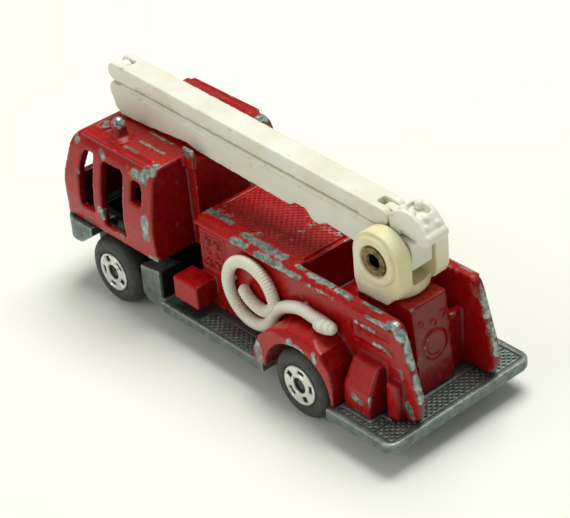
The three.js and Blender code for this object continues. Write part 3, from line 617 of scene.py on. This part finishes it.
def make_chassis():
    c = Lump("chassis_base")
    base = c.piece("zinc_base", "chassis_base", CASTING_VOXEL, ZINC, "body")
    v = points_mm(base.data)
    # the pan under the cab, and the chassis just behind the cab, are painted near-black as shadow
    pan_painted_shadow = (np.abs(v[:, 1]) < 8.6) & (v[:, 0] > 26.5) & (v[:, 0] < 51.5) & (v[:, 2] > 4.9)
    pan_painted_shadow |= (v[:, 0] > 25.0) & (v[:, 0] < 31.5) & (v[:, 2] > 5.6)
    put_attribute(base.data, "dark", pan_painted_shadow * 0.9)
    for s, side in ((1, "left"), (-1, "right")):
        base_tread("board_tread_" + side, 10.3, 22.8, *sorted((s * 9.5, s * 12.3)), BOARD_Z)
        base_tread("step_corner_" + side, -14.5, -13.0, *sorted((s * 9.7, s * 12.8)), STEP_Z)
        base_tread("step_edge_" + side, -13.0, -7.5, *sorted((s * 12.0, s * 12.8)), STEP_Z)
    base_tread("step_tread", -17.8, -14.7, -12.8, 12.8, STEP_Z)


# ---------------------------------------------------------------- wheels
WHEEL_R, WHEEL_IN = 5.6, 9.3      # radius, and how far out the inner face stands
WHEELBASE = 42.3
WHEEL_STEPS = 240
SLOTS, SLOT_AT, SLOT_FLOOR = 5, 2.25, 3.35


def wheel_piece(name, node, x, side, body, turn):
    """A lathed wheel; the outer face is sampled finely so that its five slots have crisp walls."""
    # radius and distance out of each ring, from the hub's inner end round to its outer end
    prof = [(0.83, 0.0), (4.0, 0.0), (5.0, 0.25), (5.42, 0.7), (5.58, 1.3), (5.6, 2.0), (5.56, 2.6),
            (5.42, 3.1), (5.15, 3.5), (4.75, 3.78), (4.3, 3.88), (3.75, 3.86), (3.5, 3.8), (3.36, 3.62),
            (3.26, 3.6), (3.16, 3.72), (3.08, 3.92), (3.0, 4.0)]
    prof += [(r, 4.0) for r in np.arange(2.92, 1.34, -0.08)]
    prof += [(1.3, 3.98), (1.24, 3.9), (1.2, 3.6), (1.15, 3.3), (0.83, 3.25)]
    prof = np.array(prof)
    seg = WHEEL_STEPS
    t = np.arange(seg) * 2 * math.pi / seg
    r = np.repeat(prof[:, 0], seg).reshape(-1, seg)
    y = np.repeat(prof[:, 1], seg).reshape(-1, seg).copy()
    a = np.tile(t, (len(prof), 1))
    foil = ((r < 3.12) & (y > 3.85)).astype(float)
    for i in range(SLOTS):
        c = turn + i * 2 * math.pi / SLOTS
        u = r * np.cos(a - c)
        s = r * np.sin(a - c)
        slot = (np.abs(u - SLOT_AT) < 0.5) & (np.abs(s) < 0.72) & (y > 3.8)
        y[slot] = SLOT_FLOOR
        foil[slot] = 0
    v = np.stack([r * np.cos(a), y, r * np.sin(a)], -1).reshape(-1, 3)
    n = len(prof)
    faces = []
    for i in range(n):
        j = (i + 1) % n
        for k in range(seg):
            l = (k + 1) % seg
            faces.append((i * seg + k, i * seg + l, j * seg + l, j * seg + k))
    v[:, 1] += WHEEL_IN
    v[:, 1] *= side
    if side < 0:
        faces = [tuple(reversed(f)) for f in faces]
    v[:, 0] += x
    v[:, 2] += WHEEL_R
    obj = to_object(name, v, faces, BLACK, body)
    put_attribute(obj.data, "foil", foil.ravel())
    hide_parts(node)


# ---------------------------------------------------------------- turntable, boom, hose
TURNTABLE_X, TURNTABLE_Z = -6.3, 19.6
REST_TURN = 2.3                         # degrees that the boom rests to the left
BOOM_X, BOOM_Z = -1.7, 6.6              # the boom's lower hinge, from the turntable
BOOM_RISE = 3.85                        # degrees
# Lumps on the melted end: along the boom, across it, above it, and radius.
BASKET_LUMPS = ((-1.4, 1.1, 7.0, 0.75), (-3.0, 1.2, 7.1, 0.7), (-2.2, -1.2, 7.1, 0.75),
                (-4.6, 0.3, 6.6, 0.7), (-5.4, -1.0, 5.6, 0.75), (-5.3, 1.1, 5.7, 0.7))


def turned(x, y, z):
    """From the turntable's own directions to the vehicle's."""
    a = math.radians(REST_TURN)
    return np.array((TURNTABLE_X + x * math.cos(a) - y * math.sin(a),
                     x * math.sin(a) + y * math.cos(a), TURNTABLE_Z + z))


def along_boom(s, y, h):
    """From distances along, across and above the lower boom to the vehicle's directions."""
    a = math.radians(BOOM_RISE)
    return turned(BOOM_X + s * math.cos(a) - h * math.sin(a), y,
                  BOOM_Z + s * math.sin(a) + h * math.cos(a))


def make_boom():
    for name, node, body, mat, slot, voxel in (
            ("cream_bracket", "turntable_bracket", "turntable", CREAM, "cream_plastic", 0.12),
            ("boom_lower_moulding", "lower_boom", "lower_arm", WHITE, "white_plastic", 0.14),
            ("boom_upper_moulding", "upper_boom", "upper_arm", WHITE, "white_plastic", 0.14),
            ("basket_moulding", "basket", "basket_body", WHITE, "white_plastic", 0.10)):
        lump = Lump(node)
        if node == "basket":
            for s, y, h, r in BASKET_LUMPS:
                lump.ball(along_boom(s, y, h), r, seg=12)
        lump.piece(name, node, voxel, mat, body)


def smooth_path(points, per=40):
    """The same curve through the points as the moulding follows, sampled finely."""
    p = np.array(points, float)
    p = np.vstack([2 * p[0] - p[1], p, 2 * p[-1] - p[-2]])
    out = []
    for i in range(1, len(p) - 2):
        t = np.arange(per)[:, None] / per
        a, b, c, d = p[i - 1], p[i], p[i + 1], p[i + 2]
        out.append(0.5 * (2 * b + (c - a) * t + (2 * a - 5 * b + 4 * c - d) * t * t
                          + (3 * b - a - 3 * c + d) * t * t * t))
    return np.vstack(out + [p[-2:-1]])


def ribbed_tube(lump, points, y, radius, pitch):
    """A round strand with fine ribs across it and a rounded end at both ends."""
    path = smooth_path(points)
    length = np.concatenate([[0], np.cumsum(np.linalg.norm(np.diff(path, axis=0), axis=1))])
    s = np.arange(0, length[-1], pitch / 6)
    x, z = np.interp(s, length, path[:, 0]), np.interp(s, length, path[:, 1])
    tx, tz = np.gradient(x), np.gradient(z)
    k = np.hypot(tx, tz)
    tx, tz = tx / k, tz / k
    r = radius * (0.97 + 0.055 * np.cos(2 * math.pi * s / pitch))
    end = np.minimum(s, s[-1] - s) / radius
    r = r * np.where(end < 1, np.sqrt(np.clip(1 - (1 - np.clip(end, 0.02, 1)) ** 2, 0, 1)), 1)
    seg = 20
    a = np.arange(seg) * 2 * math.pi / seg
    ca, sa = np.cos(a)[None, :], np.sin(a)[None, :]
    v = np.stack([x[:, None] - tz[:, None] * ca * r[:, None], y + sa * r[:, None],
                  z[:, None] + tx[:, None] * ca * r[:, None]], -1).reshape(-1, 3)
    n = len(s)
    f = [(i * seg + j, i * seg + (j + 1) % seg, (i + 1) * seg + (j + 1) % seg, (i + 1) * seg + j)
         for i in range(n - 1) for j in range(seg)]
    f += [tuple(reversed(range(seg))), tuple((n - 1) * seg + j for j in range(seg))]
    lump.add(v, f)
    return np.repeat(np.cos(2 * math.pi * s / pitch), seg)


HOSE_Y = 9.2                            # the strands' middle plane
HOSE_R, RIB_PITCH = 0.95, 0.42
COIL_X, COIL_Z, COIL_R = 13.9, 12.8, 5.05
NOZZLE_X, NOZZLE_Z, NOZZLE_LEAN = -2.6, 15.1, 10        # the branch pipe's middle, and its lean


def make_hose():
    def ring(from_deg, to_deg):
        turns = [math.radians(a) for a in range(from_deg, to_deg + 1, 15)]
        return [(COIL_X + COIL_R * math.cos(a), COIL_Z + COIL_R * math.sin(a)) for a in turns]

    inner = [(15.9, 13.4), (14.6, 11.8), (12.6, 11.0), (10.6, 11.2)]
    tail = [(8.5, 12.1), (6.5, 13.9), (3.2, 15.2), (0.2, 15.1), (NOZZLE_X, NOZZLE_Z)]
    h = Lump()
    ribs = [ribbed_tube(h, inner + ring(-15, 180)[::-1], HOSE_Y, HOSE_R, RIB_PITCH),
            ribbed_tube(h, ring(-150, 15)[::-1] + tail, HOSE_Y, HOSE_R, RIB_PITCH)]
    count = sum(len(r) for r in ribs)
    # pegs into the wall
    for x, z in ((18.95, 12.8), (3.2, 15.2)):
        h.rod((x, 7.15, z), (x, HOSE_Y, z), 0.5)
    # branch pipe: a slim bulb with a collar
    lean = math.radians(NOZZLE_LEAN)
    d = np.array((-math.cos(lean), 0, math.sin(lean)))
    c = np.array((NOZZLE_X, HOSE_Y + 0.45, NOZZLE_Z))
    for t0, t1, r0, r1 in ((-1.8, -1.3, 0.95, 0.95), (-1.3, 0.2, 1.13, 1.13),
                           (0.2, 1.3, 1.13, 0.92), (1.3, 1.8, 0.92, 0.5)):
        h.rod(c + d * t0, c + d * t1, r0, r1, seg=24)
    obj = to_object("hose_moulding", np.vstack(h.v), h.f, WHITE, "body")
    put_attribute(obj.data, "edge", np.concatenate(ribs + [np.zeros(len(obj.data.vertices) - count)]) * 0.30)
    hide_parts("hose_left")


def dress_cad_nodes():
    """The small metal pieces are shown as the CAD made them, with a metal of their own."""
    for node, mat in (("front_axle", AXLE_STEEL_PAINTED_DARK), ("rear_axle", AXLE_STEEL_PAINTED_DARK), ("turntable_rivet", STEEL),
                      ("knuckle_pin", STEEL), ("basket_pin", STEEL), ("boom_eyelet", BRASS)):
        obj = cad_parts[node]
        for s in obj.material_slots:
            s.material = mat
        if not obj.material_slots:
            obj.data.materials.append(mat)


# ---------------------------------------------------------------- stage
FLOOR_HALF = 2.5        # m


def make_stage():
    mesh = bpy.data.meshes.new("floor")
    s = FLOOR_HALF
    mesh.from_pydata([(-s, -s, 0), (s, -s, 0), (s, s, 0), (-s, s, 0)], [], [(0, 1, 2, 3)])
    floor = bpy.data.objects.new("floor", mesh)
    bpy.context.scene.collection.objects.link(floor)
    m = Nodes("floor_paper")
    col = m.mix(m.noise(0.02, 2), (0.89, 0.90, 0.855), (0.93, 0.935, 0.895))
    mesh.materials.append(m.set(color=col, rough=0.9, spec=0.1))

    world = bpy.data.worlds.new("studio")
    world.use_nodes = True
    bg = world.node_tree.nodes["Background"]
    bg.inputs["Color"].default_value = (0.97, 1.0, 0.92, 1.0)
    bg.inputs["Strength"].default_value = 0.30
    bpy.context.scene.world = world

    def area(name, where, size, power, color=(1, 1, 1)):
        data = bpy.data.lights.new(name, "AREA")
        data.shape = "SQUARE"
        data.size = size
        data.energy = power
        data.color = color
        lamp = bpy.data.objects.new(name, data)
        bpy.context.scene.collection.objects.link(lamp)
        lamp.location = where
        lamp.rotation_euler = (Vector((0, 0, 0.015)) - Vector(where)).to_track_quat("-Z", "Y").to_euler()

    area("key_top", (0.05, -0.16, 0.55), 0.35, 2.85, (1.0, 1.0, 0.93))
    area("fill_left", (0.15, 0.55, 0.30), 0.45, 0.95, (1.0, 1.0, 0.95))
    scene = bpy.context.scene
    scene.view_settings.view_transform = "Standard"
    scene.view_settings.look = "None"
    scene.view_settings.exposure = 0.0


make_camera()
make_stage()
make_body()
make_chassis()
tread("deck_tread", 6.2, 25.2, -5.5, 5.5, 20.28, 0.28, RED)
wheel_piece("front_left_wheel", "wheel_front_left", WHEELBASE, 1, "wheel_fl", 1.1)
wheel_piece("front_right_wheel", "wheel_front_right", WHEELBASE, -1, "wheel_fr", 0.3)
wheel_piece("rear_left_wheel", "wheel_rear_left", 0.0, 1, "wheel_rl", 1.75)
wheel_piece("rear_right_wheel", "wheel_rear_right", 0.0, -1, "wheel_rr", 0.7)
make_boom()
make_hose()
dress_cad_nodes()
